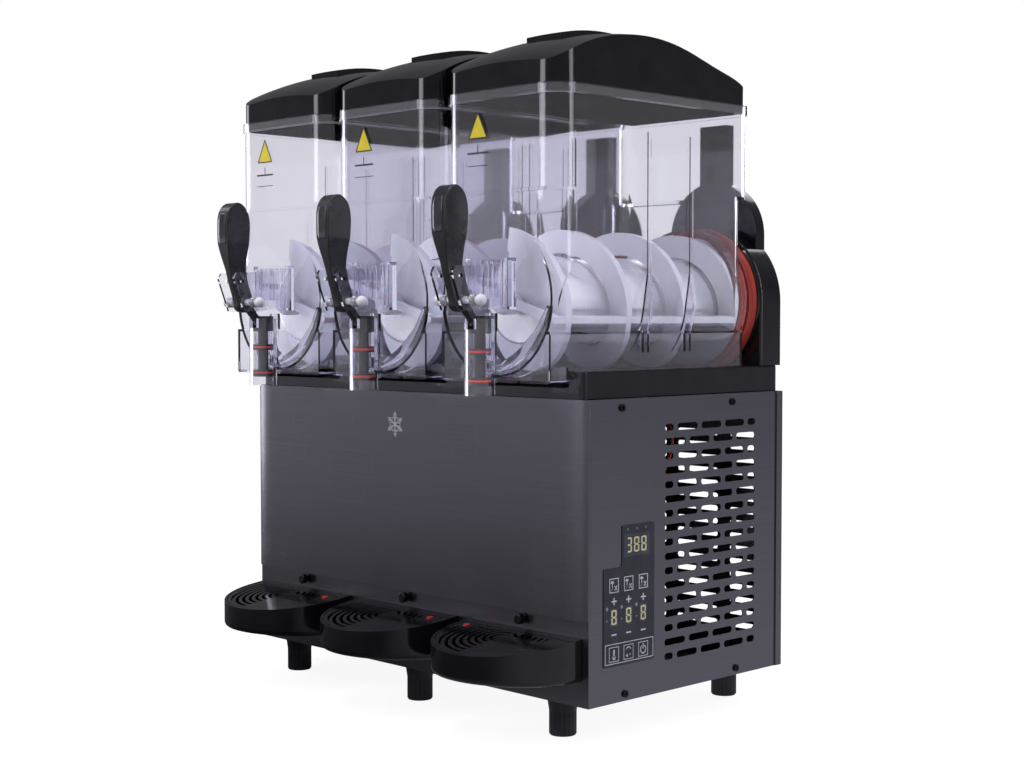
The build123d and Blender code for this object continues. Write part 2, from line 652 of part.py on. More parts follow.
def piston_rings():
    """The piston's two sealing rings."""
    rings = []
    for z in RING_HEIGHTS:
        ring = disc_z(PISTON_R + 0.2, z - RING_HALF, z + RING_HALF) - disc_z(PISTON_R - 2, z - 5, z + 5)
        outer = ring.edges().filter_by(GeomType.CIRCLE).sort_by(SortBy.RADIUS)[-2:]
        rings.append(Pos(0, TAP_Y, 0) * fillet(outer, 1.2))
    return Part() + rings


def tap_handle():
    """Lever: a broad paddle, a narrow neck round the pivot, and a toe that lifts the piston."""
    side_view = make_face([
        Spline((-109, 478), (-111, 490), (-115.8, 505), (-121.8, 528), (-125.8, 544), (-128.3, 560),
               (-128.6, 576), (-127.6, 591), (-122, 602), (-112, 607), (-102, 602), (-95.8, 591),
               (-94.3, 575), (-95.6, 557), (-97.2, 542), (-97.4, 527), (-95.6, 512), (-91, 498),
               (-86, 484)),
        Line((-86, 484), (-91, 474)),
        ThreePointArc((-91, 474), (-101, 471.5), (-109, 478))])
    neck = HANDLE_NECK_HALF_W
    wide = HANDLE_HALF_W
    front_view = polygon((-neck, 460), (neck, 460), (neck, 524), (wide, 556), (wide, 620),
                         (-wide, 620), (-wide, 556), (-neck, 524))
    bends = front_view.vertices().filter_by(lambda corner: 500 < corner.Y < 600)
    front_view = fillet(bends, 15)
    body = along_x(side_view, -20, 20) & along_y(front_view, -150, -60)
    outline = body.edges().filter_by(Axis.X, reverse=True).filter_by(Axis.Y, reverse=True)
    body = fillet(outline, 1.5)
    toe_y, toe_z = TOE_TIP
    angle = degrees(atan2(toe_z - PIVOT_Z, toe_y - PIVOT_Y))
    reach = hypot(toe_z - PIVOT_Z, toe_y - PIVOT_Y)
    arm = Pos(PIVOT_Y, PIVOT_Z) * Rot(0, 0, angle) * Pos(reach / 2, 0) * Rectangle(reach, 6)
    toe = along_x(arm + Pos(toe_y, toe_z) * Circle(4), -neck + 0.5, neck - 0.5)
    return body + toe - disc_x(PIN_R + RUNNING_GAP, -20, 20, PIVOT_Y, PIVOT_Z)


def tap_pin():
    """Pivot pin with a round knob on each end."""
    pin = disc_x(PIN_R, -KNOB_X, KNOB_X, PIVOT_Y, PIVOT_Z)
    for side in (-1, 1):
        pin += Pos(side * KNOB_X, PIVOT_Y, PIVOT_Z) * Sphere(KNOB_R)
    return pin


def tap_spring():
    """Two torsion coils on the pivot pin, between cheeks and knobs."""
    coils = []
    for start in (-26.4, 19.4):
        line = Helix(pitch=1.7, height=6.8, radius=5.8)
        wire = sweep(Plane(origin=line @ 0, z_dir=line % 0) * Circle(0.75), line, is_frenet=True)
        coils.append(Pos(start, PIVOT_Y, PIVOT_Z) * Rot(0, 90, 0) * wire)
    return Part() + coils


# ---- Bowl: lid ---------------------------------------------------------------------------
# Height of the lid's side edge at depths along it. The first and last lie outside the lid.
LID_EDGE = ((-43.0, 734.0), (-10.0, 755.5), (30.0, 769.5), (87.0, 778.0), (131.0, 777.0),
            (165.0, 771.5), (204.0, 761.0), (240.0, 751.0), (283.0, 732.0))
LID_FRONT = -40.0
LID_BACK = 281.0
LID_HALF_W = 92.0
LID_BOTTOM = RIM_TOP
LID_CROWN = 7.5
LID_WALL = 2.5
GRIP_HALF_W = 27.0
GRIP_RISE = 5.5


def under_crown(drop):
    """Everything under the lid's crowned top, lowered by drop, a little wider than the lid."""
    half = LID_HALF_W + 3
    sections = []
    for y, edge in LID_EDGE:
        middle = edge + LID_CROWN - drop
        side = middle - LID_CROWN * (half / LID_HALF_W) ** 2
        outline = [Polyline((-half, side), (-half, 700), (half, 700), (half, side)),
                   ThreePointArc((half, side), (0, middle), (-half, side))]
        sections.append(Pos(0, y, 0) * (Plane.XZ * make_face(outline)))
    return loft(sections)


def lid():
    """Crowned lid with a raised grip along its middle and a locating lip inside the tank."""
    inset = TANK_HALF_W - LID_HALF_W
    shell = under_crown(0) & along_z(tank_plan(inset, LID_FRONT, LID_BACK), LID_BOTTOM, 800)
    room = tank_plan(inset + LID_WALL, LID_FRONT + LID_WALL, LID_BACK - LID_WALL)
    shell -= under_crown(LID_WALL) & along_z(room, LID_BOTTOM - 1, 800)
    grip = under_crown(-GRIP_RISE) & block(-GRIP_HALF_W, GRIP_HALF_W, 31, 216, 735, 800)
    shell += grip - under_crown(LID_WALL / 2)
    lip_plan = tank_plan(TANK_WALL + 0.8, UPPER_FRONT + TANK_WALL + 0.8, LID_BACK - LID_WALL)
    lip_room = tank_plan(TANK_WALL + 2.8, UPPER_FRONT + TANK_WALL + 2.8, LID_BACK - LID_WALL - 2)
    return shell + along_z(lip_plan - lip_room, LID_BOTTOM - 9, LID_BOTTOM + 4)


# ---- Drip tray ---------------------------------------------------------------------------
def tray_plan(inset, back):
    """Half-round plan with a short straight stretch towards the cabinet, up to back."""
    r = TRAY_R - inset
    return make_face([ThreePointArc((-r, TRAY_ROUND_Y), (0, TRAY_ROUND_Y - r), (r, TRAY_ROUND_Y)),
                      Polyline((r, TRAY_ROUND_Y), (r, back), (-r, back), (-r, TRAY_ROUND_Y))])


def top_height(y, drop):
    """Height of a plane parallel to the tray's sloping top, lowered by drop."""
    return TRAY_TOP - drop + y * tan(radians(TRAY_SLOPE))


def over_floor(rise):
    """The side view of everything above the tray's floor, raised by rise."""
    floor_front = TRAY_BOTTOM + 6 + rise
    return polygon((-120, floor_front), (5, TRAY_BOTTOM + rise), (5, 130), (-120, 130))


def over_plane(drop):
    """The side view of everything above a plane parallel to the tray's top."""
    return polygon((-120, top_height(-120, drop)), (5, top_height(5, drop)), (5, 140), (-120, 140))


def drip_tray():
    """Deep half-round tray with a sloping top, a ledge for the grille and a rounded floor."""
    outer = along_z(tray_plan(0, TRAY_REAR), 50, 130) & along_x(over_floor(0), -100, 100)
    floor_edges = outer.faces().sort_by(Axis.Z)[0].edges()
    outer = fillet(floor_edges.filter_by(Axis.X, reverse=True), 7)
    outer -= along_x(over_plane(0), -100, 100)
    well = along_z(tray_plan(TRAY_WALL + 3, WELL_REAR), 50, 130) & along_x(over_floor(TRAY_WALL), -100, 100)
    ledge_drop = GRILLE_DROP + GRILLE_THICKNESS / cos(radians(TRAY_SLOPE))
    recess = along_z(tray_plan(TRAY_WALL, GRILLE_REAR + 0.5), 50, 130)
    recess &= along_x(over_plane(ledge_drop), -100, 100)
    rear_pocket = block(-70, 70, WELL_REAR + 3.5, TRAY_REAR - 3, 50, 104)
    return outer - well - recess - rear_pocket


def drip_grille(float_x):
    """Sloping grille: arc slats round one centre on the left, a smooth fan on the right."""
    plan = tray_plan(TRAY_WALL + 0.5, GRILLE_REAR)
    window = tray_plan(TRAY_WALL + 5, GRILLE_REAR - 4.5)
    left = Pos(-50, -50) * Rectangle(100, 100)
    rear = Pos(31, -20) * Rectangle(54, 20)
    slots = []
    radius = 10.0
    while radius < 86:
        ring = Circle(radius + SLAT_GAP / 2) - Circle(radius - SLAT_GAP / 2)
        ring = Pos(0, SLAT_CENTRE_Y) * ring
        slots.append(ring & window & (left + rear))
        radius += SLAT_PITCH
    hole = Pos(float_x, FLOAT_Y) * Circle(FLOAT_HOLE_R)
    surround = Pos(float_x, FLOAT_Y) * Circle(FLOAT_HOLE_R + 3)
    face = plan - [slot - surround for slot in slots] - hole
    tilt = radians(TRAY_SLOPE)
    top = Plane(origin=(0, 0, TRAY_TOP - GRILLE_DROP), x_dir=(1, 0, 0), z_dir=(0, -sin(tilt), cos(tilt)))
    return extrude(top * face, -GRILLE_THICKNESS)


def tray_float(float_x):
    """Full-tray float: a red button through the grille on a buoyant disc."""
    low = TRAY_BOTTOM + TRAY_WALL + 2.6
    button_top = top_height(FLOAT_Y, 0) + 0.5
    return disc_z(4.0, low, button_top, float_x, FLOAT_Y) + disc_z(5.4, low, low + 18, float_x, FLOAT_Y)


# ---- Write every node --------------------------------------------------------------------
os.makedirs("parts", exist_ok=True)

save("chassis_pan", chassis_pan())
save("left_panel", side_panel(-1))
save("right_panel", side_panel(1))
save("rear_panel", rear_panel())
save("front_cover", front_cover())
save("deck", deck())
save("rear_towers", rear_towers())
save("feet", feet())
save("control_panel", control_panel())
save("fasteners", fasteners())
save("compressor", compressor())
save("condenser", condenser())
save("fan_shroud", fan_shroud())
save("fan", fan())
save("gear_motors", gear_motors())
save("refrigerant_lines", refrigerant_lines())
save("wiring", wiring())
save("power_inlet", power_inlet())

# The same for every bowl, made once and placed three times.
bowl_pieces = {
    "tank": tank(),
    "lid": lid(),
    "auger": auger(),
    "auger_shaft": auger_shaft(),
    "evaporator": evaporator(),
    "gasket": gasket(),
    "tap_handle": tap_handle(),
    "tap_piston": tap_piston(),
    "piston_rings": piston_rings(),
    "tap_pin": tap_pin(),
    "tap_spring": tap_spring(),
    "drip_tray": drip_tray(),
}
for bowl, bowl_x in BOWLS.items():
    for piece, shape in bowl_pieces.items():
        save(f"{bowl}_{piece}", Pos(bowl_x, 0, 0) * shape)
    save(f"{bowl}_drip_grille", Pos(bowl_x, 0, 0) * drip_grille(FLOAT_X[bowl]))
    save(f"{bowl}_tray_float", Pos(bowl_x, 0, 0) * tray_float(FLOAT_X[bowl]))
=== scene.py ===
import json
import math

import bmesh
import bpy
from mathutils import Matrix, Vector
from mathutils.bvhtree import BVHTree


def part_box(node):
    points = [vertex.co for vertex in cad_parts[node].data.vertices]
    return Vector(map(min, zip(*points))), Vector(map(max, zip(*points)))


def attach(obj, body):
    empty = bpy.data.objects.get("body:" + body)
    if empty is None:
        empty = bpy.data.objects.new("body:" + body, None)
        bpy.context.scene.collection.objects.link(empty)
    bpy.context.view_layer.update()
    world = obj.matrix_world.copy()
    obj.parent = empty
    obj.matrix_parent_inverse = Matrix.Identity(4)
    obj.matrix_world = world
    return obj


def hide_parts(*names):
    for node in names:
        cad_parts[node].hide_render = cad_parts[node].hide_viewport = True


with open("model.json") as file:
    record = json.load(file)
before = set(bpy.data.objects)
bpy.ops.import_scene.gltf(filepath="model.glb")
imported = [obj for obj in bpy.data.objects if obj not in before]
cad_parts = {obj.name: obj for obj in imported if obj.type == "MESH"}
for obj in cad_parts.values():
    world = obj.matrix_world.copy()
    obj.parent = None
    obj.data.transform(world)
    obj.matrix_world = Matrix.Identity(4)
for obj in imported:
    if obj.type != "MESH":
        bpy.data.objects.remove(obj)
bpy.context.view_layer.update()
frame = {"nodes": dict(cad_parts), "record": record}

MM = 0.001
nodes = frame["nodes"]
FRONT_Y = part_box("chassis_pan")[0].y
BOWLS = ("left", "middle", "right")


def middle_x(node):
    """The X of the middle of a CAD node's box."""
    low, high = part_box(node)
    return (low.x + high.x) / 2


BOWL_X = {bowl: middle_x(f"{bowl}_evaporator") for bowl in BOWLS}


def bench(x_mm, y_mm, z_mm):
    """A point given in millimetres, its depth counted from the cabinet's front plane."""
    return Vector((x_mm * MM, FRONT_Y + y_mm * MM, z_mm * MM))


# ---- Surfaces ----------------------------------------------------------------------------
class Surface:
    """A Principled material, with procedural variation added step by step."""

    def __init__(self, name, colour, metallic=0.0, roughness=0.5, **values):
        self.material = bpy.data.materials.new(name)
        self.material.use_nodes = True
        self.tree = self.material.node_tree
        self.shader = self.tree.nodes["Principled BSDF"]
        self.shader.inputs["Base Color"].default_value = (*colour, 1.0)
        self.shader.inputs["Metallic"].default_value = metallic
        self.shader.inputs["Roughness"].default_value = roughness
        for socket, value in values.items():
            self.shader.inputs[socket.replace("_", " ")].default_value = value
        self.place = self.tree.nodes.new("ShaderNodeTexCoord").outputs["Object"]
        self.normal = None

    def noise(self, scale, stretch=(1, 1, 1), detail=3.0):
        """A noise pattern, with so many features a metre along each axis."""
        mapping = self.tree.nodes.new("ShaderNodeMapping")
        mapping.inputs["Scale"].default_value = stretch
        self.tree.links.new(self.place, mapping.inputs["Vector"])
        pattern = self.tree.nodes.new("ShaderNodeTexNoise")
        pattern.inputs["Scale"].default_value = scale
        pattern.inputs["Detail"].default_value = detail
        self.tree.links.new(mapping.outputs["Vector"], pattern.inputs["Vector"])
        return pattern.outputs[0]

    def colour(self, factor, dark, light, low=0.35, high=0.65):
        """Base colour between two tones, as the factor goes from low to high."""
        ramp = self.tree.nodes.new("ShaderNodeValToRGB")
        ramp.color_ramp.elements[0].position = low
        ramp.color_ramp.elements[0].color = (*dark, 1.0)
        ramp.color_ramp.elements[1].position = high
        ramp.color_ramp.elements[1].color = (*light, 1.0)
        self.tree.links.new(factor, ramp.inputs["Fac"])
        self.tree.links.new(ramp.outputs["Color"], self.shader.inputs["Base Color"])
        return self

    def gloss(self, factor, smooth, rough, low=0.3, high=0.7):
        """Roughness between two values, as the factor goes from low to high."""
        span = self.tree.nodes.new("ShaderNodeMapRange")
        span.inputs["From Min"].default_value = low
        span.inputs["From Max"].default_value = high
        span.inputs["To Min"].default_value = smooth
        span.inputs["To Max"].default_value = rough
        self.tree.links.new(factor, span.inputs["Value"])
        self.tree.links.new(span.outputs["Result"], self.shader.inputs["Roughness"])
        return self

    def bump(self, factor, depth, strength=0.5):
        """Small relief, depth in metres between the pattern's low and high."""
        relief = self.tree.nodes.new("ShaderNodeBump")
        relief.inputs["Strength"].default_value = strength
        relief.inputs["Distance"].default_value = depth
        self.tree.links.new(factor, relief.inputs["Height"])
        if self.normal is not None:
            self.tree.links.new(self.normal, relief.inputs["Normal"])
        self.normal = relief.outputs["Normal"]
        self.tree.links.new(self.normal, self.shader.inputs["Normal"])
        return self


def brushed_sheet(name, dark, light, smooth, rough, stretch):
    """Brushed sheet metal: long fine scratches, and larger soft patches of gloss."""
    sheet = Surface(name, light, metallic=1.0, Anisotropic=0.5, Anisotropic_Rotation=0.25)
    grain = sheet.noise(1.0, stretch, detail=4.0)
    patches = sheet.noise(7.0, detail=2.0)
    sheet.colour(grain, dark, light)
    sheet.gloss(patches, smooth, rough)
    sheet.bump(grain, 0.00006, 0.35)
    return sheet.material


def moulded(name, dark, light, smooth, rough, **values):
    """Moulded plastic or rubber: faint mottling, uneven gloss and a fine orange-peel relief."""
    skin = Surface(name, light, **values)
    skin.colour(skin.noise(35.0), dark, light)
    skin.gloss(skin.noise(14.0, detail=4.0), smooth, rough)
    skin.bump(skin.noise(900.0, detail=1.0), 0.00004, 0.12)
    return skin.material


SHADOW_TINT = (0.93, 0.93, 0.96)


def clear_plastic(name, tint, edge_tint, density, roughness=0.02):
    """Clear plastic that shows its tint in depth, and lets light through to what is inside."""
    clear = Surface(name, tint, roughness=roughness, Transmission_Weight=1.0, IOR=1.49)
    clear.gloss(clear.noise(18.0), roughness, roughness + 0.025)
    clear.bump(clear.noise(26.0, detail=1.0), 0.0004, 0.05)
    tree = clear.tree
    passing = tree.nodes.new("ShaderNodeBsdfTransparent")
    passing.inputs["Color"].default_value = (*SHADOW_TINT, 1.0)
    mix = tree.nodes.new("ShaderNodeMixShader")
    rays = tree.nodes.new("ShaderNodeLightPath")
    tree.links.new(rays.outputs["Is Shadow Ray"], mix.inputs["Fac"])
    tree.links.new(clear.shader.outputs["BSDF"], mix.inputs[1])
    tree.links.new(passing.outputs["BSDF"], mix.inputs[2])
    output = tree.nodes["Material Output"]
    tree.links.new(mix.outputs["Shader"], output.inputs["Surface"])
    inside = tree.nodes.new("ShaderNodeVolumeAbsorption")
    inside.inputs["Color"].default_value = (*edge_tint, 1.0)
    inside.inputs["Density"].default_value = density
    tree.links.new(inside.outputs["Volume"], output.inputs["Volume"])
    return clear.material


def turned_steel(name):
    """Bright stainless tube, ground round its axis along Y."""
    tube = Surface(name, (0.92, 0.92, 0.95), metallic=0.85, Anisotropic=0.4)
    lathe = tube.noise(1.0, (12, 1400, 12), detail=4.0)
    tube.colour(lathe, (0.84, 0.84, 0.88), (0.95, 0.95, 0.98))
    tube.gloss(tube.noise(9.0), 0.2, 0.34)
    tube.bump(lathe, 0.00005, 0.3)
    return tube.material


def ribbon_white():
    """White food-grade plastic, slightly translucent, with faint flow lines."""
    white = Surface("auger_white", (0.86, 0.87, 0.9), Subsurface_Weight=0.25, Subsurface_Scale=0.01,
                    Coat_Weight=0.15)
    flow = white.noise(1.0, (9, 34, 9), detail=3.0)
    white.colour(flow, (0.70, 0.71, 0.78), (0.80, 0.805, 0.85))
    white.gloss(white.noise(24.0), 0.24, 0.42)
    white.bump(white.noise(420.0, detail=2.0), 0.00005, 0.15)
    return white.material


def silicone_rings():
    """Orange-red silicone with fine darker mould rings along its depth."""
    rubber = Surface("gasket_silicone", (0.8, 0.13, 0.035), Coat_Weight=0.1)
    rings = rubber.noise(1.0, (3, 420, 3), detail=1.0)
    rubber.colour(rings, (0.24, 0.014, 0.01), (0.5, 0.05, 0.025), 0.4, 0.55)
    rubber.gloss(rubber.noise(60.0), 0.3, 0.5)
    rubber.bump(rings, 0.0003, 0.4)
    return rubber.material


# Features a metre of the cabinet's grain: long along the sheet and very fine up it.
BRUSH_ALONG = (3, 3, 2600)
materials = {
    "dark_steel": brushed_sheet("cabinet_steel", (0.215, 0.21, 0.235), (0.25, 0.245, 0.27),
                                0.22, 0.3, BRUSH_ALONG),
    "black_plastic": moulded("gloss_black", (0.004, 0.004, 0.005), (0.008, 0.008, 0.01),
                             0.08, 0.18, Coat_Weight=0.3, Coat_Roughness=0.06),
    "clear_plastic": clear_plastic("tank_clear", (0.86, 0.855, 0.9), (0.6, 0.58, 0.86), 9.0),
    "white_plastic": ribbon_white(),
    "pin_plastic": moulded("knob_white", (0.82, 0.82, 0.84), (0.93, 0.93, 0.95), 0.16, 0.28,
                           Coat_Weight=0.2),
    "stainless": turned_steel("cylinder_steel"),
    "silicone": silicone_rings(),
    "red_ring": moulded("seal_red", (0.55, 0.03, 0.02), (0.8, 0.07, 0.04), 0.3, 0.5),
    "handle_black": moulded("handle_satin", (0.011, 0.011, 0.012), (0.02, 0.02, 0.023), 0.2, 0.3,
                            Sheen_Weight=0.05),
    "piston_black": moulded("piston_acetal", (0.014, 0.014, 0.015), (0.035, 0.035, 0.04), 0.25, 0.4),
    "spring_steel": brushed_sheet("spring_wire", (0.5, 0.5, 0.52), (0.75, 0.75, 0.77), 0.15, 0.3,
                                  (60, 60, 60)),
    "foot_rubber": moulded("foot_satin", (0.01, 0.01, 0.011), (0.022, 0.022, 0.025), 0.3, 0.5),
    "panel_film": moulded("key_film", (0.018, 0.018, 0.026), (0.032, 0.032, 0.045), 0.16, 0.26,
                          Coat_Weight=0.3),
    "black_fastener": moulded("screw_black", (0.008, 0.008, 0.009), (0.02, 0.02, 0.022), 0.25, 0.45,
                              metallic=0.6),
    "float_red": moulded("float_red", (0.55, 0.02, 0.02), (0.8, 0.04, 0.045), 0.12, 0.25),
    "compressor_black": moulded("enamel_black", (0.012, 0.012, 0.013), (0.028, 0.028, 0.03), 0.2, 0.4,
                                Coat_Weight=0.4),
    "fin_aluminium": brushed_sheet("fin_metal", (0.55, 0.56, 0.58), (0.8, 0.81, 0.83), 0.3, 0.5,
                                   (40, 6, 6)),
    "galvanised": brushed_sheet("zinc_sheet", (0.45, 0.46, 0.48), (0.68, 0.69, 0.71), 0.35, 0.55,
                                (45, 60, 45)),
    "fan_black": moulded("fan_matte", (0.014, 0.014, 0.015), (0.04, 0.04, 0.042), 0.4, 0.6),
    "motor_grey": moulded("motor_paint", (0.17, 0.175, 0.185), (0.27, 0.28, 0.29), 0.35, 0.55),
    "foam_white": moulded("pipe_foam", (0.68, 0.68, 0.67), (0.88, 0.88, 0.87), 0.7, 0.95),
    "wire_sleeve": moulded("wire_red", (0.6, 0.03, 0.02), (0.78, 0.05, 0.03), 0.25, 0.4),
    "inlet_black": moulded("inlet_matte", (0.012, 0.012, 0.013), (0.03, 0.03, 0.032), 0.35, 0.5),
}
print_white = moulded("print_white", (0.6, 0.61, 0.66), (0.74, 0.75, 0.8), 0.35, 0.5)
print_grey = moulded("print_grey", (0.22, 0.22, 0.26), (0.3, 0.3, 0.35), 0.35, 0.5)
digit_lit = moulded("digit_pale", (0.5, 0.49, 0.27), (0.62, 0.6, 0.34), 0.3, 0.45,
                    Emission_Color=(0.9, 0.86, 0.45, 1.0), Emission_Strength=0.1)
window_dark = moulded("display_window", (0.03, 0.03, 0.05), (0.06, 0.06, 0.085), 0.1, 0.2,
                      Coat_Weight=0.5)
label_yellow = moulded("pointer_yellow", (0.72, 0.58, 0.01), (0.85, 0.7, 0.02), 0.3, 0.45)
label_black = moulded("pointer_black", (0.012, 0.012, 0.012), (0.03, 0.03, 0.03), 0.4, 0.55)
inset_gloss = moulded("grip_inset", (0.03, 0.03, 0.036), (0.055, 0.055, 0.065), 0.06, 0.14,
                      Coat_Weight=0.6, Coat_Roughness=0.04)
pale_emblem = moulded("emblem_pale", (0.5, 0.49, 0.5), (0.66, 0.65, 0.66), 0.3, 0.45)
blade_clear = clear_plastic("blade_clear", (0.94, 0.94, 0.97), (0.45, 0.43, 0.62), 25.0)

for entry in frame["record"]["subparts"]:
    mesh = nodes[entry["node"]].data
    mesh.materials.clear()
    mesh.materials.append(materials[entry["material_slot"]])


# ---- Flat marks: thin raised plates from outlines drawn in millimetres --------------------
def bar(u0, v0, u1, v1):
    """A rectangle."""
    return [(u0, v0), (u1, v0), (u1, v1), (u0, v1)]


def outline(u0, v0, u1, v1, width):
    """A rectangular line frame, as four bars."""
    return [bar(u0, v0, u1, v0 + width), bar(u0, v1 - width, u1, v1),
            bar(u0, v0 + width, u0 + width, v1 - width), bar(u1 - width, v0 + width, u1, v1 - width)]


def band(u, v, radius, width, start, end, steps=24):
    """Part of a ring between two angles in degrees."""
    angles = [math.radians(start + (end - start) * step / steps) for step in range(steps + 1)]
    outer = [(u + radius * math.cos(a), v + radius * math.sin(a)) for a in angles]
    inner = [(u + (radius - width) * math.cos(a), v + (radius - width) * math.sin(a)) for a in angles]
    return outer + inner[::-1]


def disc(u, v, radius, steps=24):
    """A filled circle."""
    angles = [math.tau * step / steps for step in range(steps)]
    return [(u + radius * math.cos(a), v + radius * math.sin(a)) for a in angles]


def stroke(u0, v0, u1, v1, width):
    """A straight line of some width between two points."""
    run = Vector((u1 - u0, v1 - v0)).normalized() * width / 2
    return [(u0 + run.y, v0 - run.x), (u1 + run.y, v1 - run.x), (u1 - run.y, v1 + run.x),
            (u0 - run.y, v0 + run.x)]


def segment_digit(u, v, width, height, missing=()):
    """A seven-segment digit; its segments are numbered from the top, clockwise, middle last."""
    t = height * 0.12
    half = height / 2
    segments = [bar(u + t, v + height - t, u + width - t, v + height),
                bar(u + width - t, v + half + t / 3, u + width, v + height - t / 3),
                bar(u + width - t, v + t / 3, u + width, v + half - t / 3),
                bar(u + t, v, u + width - t, v + t),
                bar(u, v + t / 3, u + t, v + half - t / 3),
                bar(u, v + half + t / 3, u + t, v + height - t / 3),
                bar(u + t, v + half - t / 2, u + width - t, v + half + t / 2)]
    return [shape for number, shape in enumerate(segments) if number not in missing]


def raised(name, shapes, place, material, body):
    """One mesh of thin plates: place(u, v, top) gives the row point of an outline's point."""
    made = bmesh.new()
    for shape in shapes:
        low = [made.verts.new(place(u, v, False)) for u, v in shape]
        high = [made.verts.new(place(u, v, True)) for u, v in shape]
        made.faces.new(low[::-1])
        made.faces.new(high)
        for i in range(len(shape)):
            j = (i + 1) % len(shape)
            made.faces.new((low[i], low[j], high[j], high[i]))
    bmesh.ops.recalc_face_normals(made, faces=made.faces)
    return piece(name, made, material, body)


def piece(name, made, material, body, smooth=False):
    """Turn a finished bmesh into an object that rides on a body."""
    mesh = bpy.data.meshes.new(name)
    made.to_mesh(mesh)
    made.free()
    mesh.materials.append(material)
    for face in mesh.polygons:
        face.use_smooth = smooth
    thing = bpy.data.objects.new(name, mesh)
    bpy.context.scene.collection.objects.link(thing)
    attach(thing, body)
    return thing


# ---- Key panel on the right side ----------------------------------------------------------
PANEL_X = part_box("control_panel")[1].x
COLUMNS_MM = (39.5, 63.5, 88.0)
PRINT_HEIGHT = 0.00018
PRINT_DEPTH = 0.0002


def on_key_panel(u, v, top):
    """A point of the key panel: depth and height in millimetres."""
    point = bench(0, u, v)
    point.x = PANEL_X + (PRINT_HEIGHT if top else -PRINT_DEPTH)
    return point


def key_panel():
    """Display windows, digits, key symbols and frames on the membrane panel."""
    windows = [bar(56, 201, 98, 226)]
    lit = []
    white = []
    grey = []
    for number, missing in enumerate(((4, 5), (), ())):
        lit += segment_digit(60 + 12.2 * number, 205, 8.6, 17, missing)
    for u in (62, 77, 92):
        grey.append(disc(u, 231.2, 1.1))
    for u in COLUMNS_MM:
        windows.append(bar(u - 6.5, 125.5, u + 6.5, 146))
        lit += segment_digit(u - 4.2, 127.5, 8.4, 16.5)
        white += outline(u - 7.5, 163, u + 7.5, 179, 0.9)
        white.append(band(u - 2.8, 173.6, 2.6, 2.6, 0, 180, 12))
        white.append(stroke(u - 2.8, 173.6, u - 2.8, 168.8, 1.0))
        white += [stroke(u + 1, 165.5, u + 5, 170.5, 1.0), stroke(u + 1, 170.5, u + 5, 165.5, 1.0)]
        grey.append(stroke(u - 5, 165.5, u - 1.5, 167.8, 0.8))
        white += [bar(u - 4, 152.6, u + 4, 154.2), bar(u - 0.8, 149.4, u + 0.8, 152.6),
                  bar(u - 0.8, 154.2, u + 0.8, 157.4)]
        white.append(bar(u - 4, 115.6, u + 4, 117.2))
        grey += [disc(u - 11.5, 146, 2.0), disc(u - 11.5, 133, 1.1)]
    white += outline(25, 84, 105, 106.5, 0.8)
    for u in COLUMNS_MM:
        white += outline(u - 8, 86.5, u + 8, 103, 0.7)
    thermometer, mode, power = COLUMNS_MM
    white += [disc(thermometer, 91, 2.4), bar(thermometer - 1.1, 91, thermometer + 1.1, 100)]
    white += [band(mode, 96.4, 4.2, 1.0, 20, 160, 16), disc(mode - 2.4, 90.6, 1.5),
              disc(mode + 2.6, 91.6, 0.9)]
    white += [band(power, 94.2, 5.0, 1.2, -240, 60, 24), stroke(power, 94.6, power, 101, 1.2)]
    raised("key_windows", windows, on_key_panel, window_dark, "cabinet")

    def proud(u, v, top):
        """Just above the display windows."""
        return on_key_panel(u, v, top) + Vector((PRINT_DEPTH, 0, 0))
    raised("key_digits", lit, proud, digit_lit, "cabinet")
    raised("key_symbols", white, proud, print_white, "cabinet")
    raised("key_dots", grey, proud, print_grey, "cabinet")


key_panel()


# ---- Marks on the cover and the tanks ------------------------------------------------------
def snowflake(u, v, radius, width):
    """A plain six-armed snowflake."""
    shapes = [disc(u, v, width)]
    for arm in range(6):
        angle = math.radians(90 + 60 * arm)
        tip = Vector((math.cos(angle), math.sin(angle)))
        shapes.append(stroke(u + tip.x * width * 0.8, v + tip.y * width * 0.8,
                             u + tip.x * radius, v + tip.y * radius, width))
        for turn in (-1, 1):
            branch = Vector((math.cos(angle + turn), math.sin(angle + turn))) * radius * 0.36
            for reach in (0.42, 0.68):
                start = Vector((u, v)) + tip * radius * reach
                end = start + branch * (1.3 - reach)
                shapes.append(stroke(start.x, start.y, end.x, end.y, width * 0.7))
    return shapes


COVER_FACE_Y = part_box("front_cover")[0].y
EMBLEM_HEIGHT = 0.0003


def on_cover(u, v, top):
    """A point of the front cover's flat face: X and height in millimetres."""
    return Vector((u * MM, COVER_FACE_Y + (-EMBLEM_HEIGHT if top else PRINT_DEPTH), v * MM))


raised("cover_emblem", snowflake(-16, 336, 15, 1.7), on_cover, pale_emblem, "cabinet")


LABEL_LEFT_MM = 31.0
TANK_FACE_MM = -41.0


